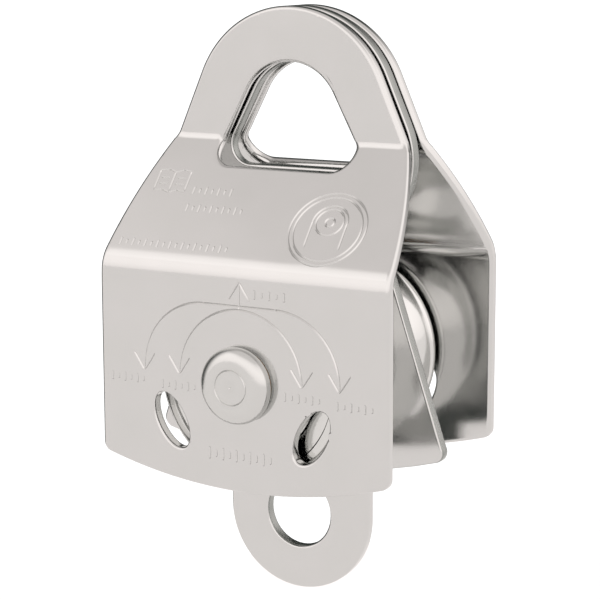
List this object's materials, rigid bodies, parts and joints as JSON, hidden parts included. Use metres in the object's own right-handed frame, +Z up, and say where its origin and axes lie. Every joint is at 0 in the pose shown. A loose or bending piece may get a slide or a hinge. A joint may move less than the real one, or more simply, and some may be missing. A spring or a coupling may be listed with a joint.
{
  "type": "double sheave block",
  "caption": "Rope block with side-by-side sheaves between swinging bent cheek plates, a common anchor eye above and a becket hole below.",
  "frame": {"origin": "middle of the anchor eye's hole, in the middle plane of the centre plate", "axes": "X across the block, +Y along the axle towards the rear cheek, +Z up from the sheaves towards the anchor eye"},
  "size_m": [0.0758, 0.065, 0.1387],
  "materials": {
    "plate_stainless": "fine satin stainless sheet",
    "axle_stainless": "turned and polished stainless",
    "sheave_stainless": "turned and polished stainless",
    "bush_bronze": "turned bronze",
    "spacer_steel": "turned steel",
    "spring_steel": "phosphated spring steel",
    "bearing_steel": "ground bearing steel",
    "ball_steel": "lapped ball",
    "cage_steel": "stamped steel",
    "shield_steel": "stamped steel"
  },
  "bodies": {
    "frame": {"centre_plate": "plate_stainless", "axle_pin": "axle_stainless", "front_axle_head": "axle_stainless", "front_cheek_bush": "bush_bronze", "front_outer_spacer": "spacer_steel", "front_inner_spacer": "spacer_steel", "front_bearing_inner_ring": "bearing_steel", "rear_axle_head": "axle_stainless", "rear_cheek_bush": "bush_bronze", "rear_outer_spacer": "spacer_steel", "rear_inner_spacer": "spacer_steel", "rear_bearing_inner_ring": "bearing_steel"},
    "front_cheek": {"front_cheek_plate": "plate_stainless"},
    "front_sheave_set": {"front_sheave": "sheave_stainless", "front_retaining_ring": "spring_steel", "front_bearing_outer_ring": "bearing_steel", "front_bearing_shields": "shield_steel"},
    "front_ball_set": {"front_bearing_balls": "ball_steel", "front_bearing_cage": "cage_steel"},
    "rear_cheek": {"rear_cheek_plate": "plate_stainless"},
    "rear_sheave_set": {"rear_sheave": "sheave_stainless", "rear_retaining_ring": "spring_steel", "rear_bearing_outer_ring": "bearing_steel", "rear_bearing_shields": "shield_steel"},
    "rear_ball_set": {"rear_bearing_balls": "ball_steel", "rear_bearing_cage": "cage_steel"}
  },
  "joints": [
    {"name": "front_cheek_swing", "type": "hinge", "parent": "frame", "child": "front_cheek", "pos_m": [0, 0, -0.0586], "axis": [0, 1, 0], "continuous": true},
    {"name": "front_sheave_spin", "type": "hinge", "parent": "frame", "child": "front_sheave_set", "pos_m": [0, 0, -0.0586], "axis": [0, 1, 0], "continuous": true},
    {"name": "front_ball_roll", "type": "hinge", "parent": "frame", "child": "front_ball_set", "pos_m": [0, 0, -0.0586], "axis": [0, 1, 0], "continuous": true},
    {"name": "rear_cheek_swing", "type": "hinge", "parent": "frame", "child": "rear_cheek", "pos_m": [0, 0, -0.0586], "axis": [0, 1, 0], "continuous": true},
    {"name": "rear_sheave_spin", "type": "hinge", "parent": "frame", "child": "rear_sheave_set", "pos_m": [0, 0, -0.0586], "axis": [0, 1, 0], "continuous": true},
    {"name": "rear_ball_roll", "type": "hinge", "parent": "frame", "child": "rear_ball_set", "pos_m": [0, 0, -0.0586], "axis": [0, 1, 0], "continuous": true}
  ],
  "couplings": [
    {"joint": "front_ball_roll", "follows": "front_sheave_spin", "ratio": 0.619},
    {"joint": "rear_ball_roll", "follows": "rear_sheave_spin", "ratio": 0.619}
  ]
}
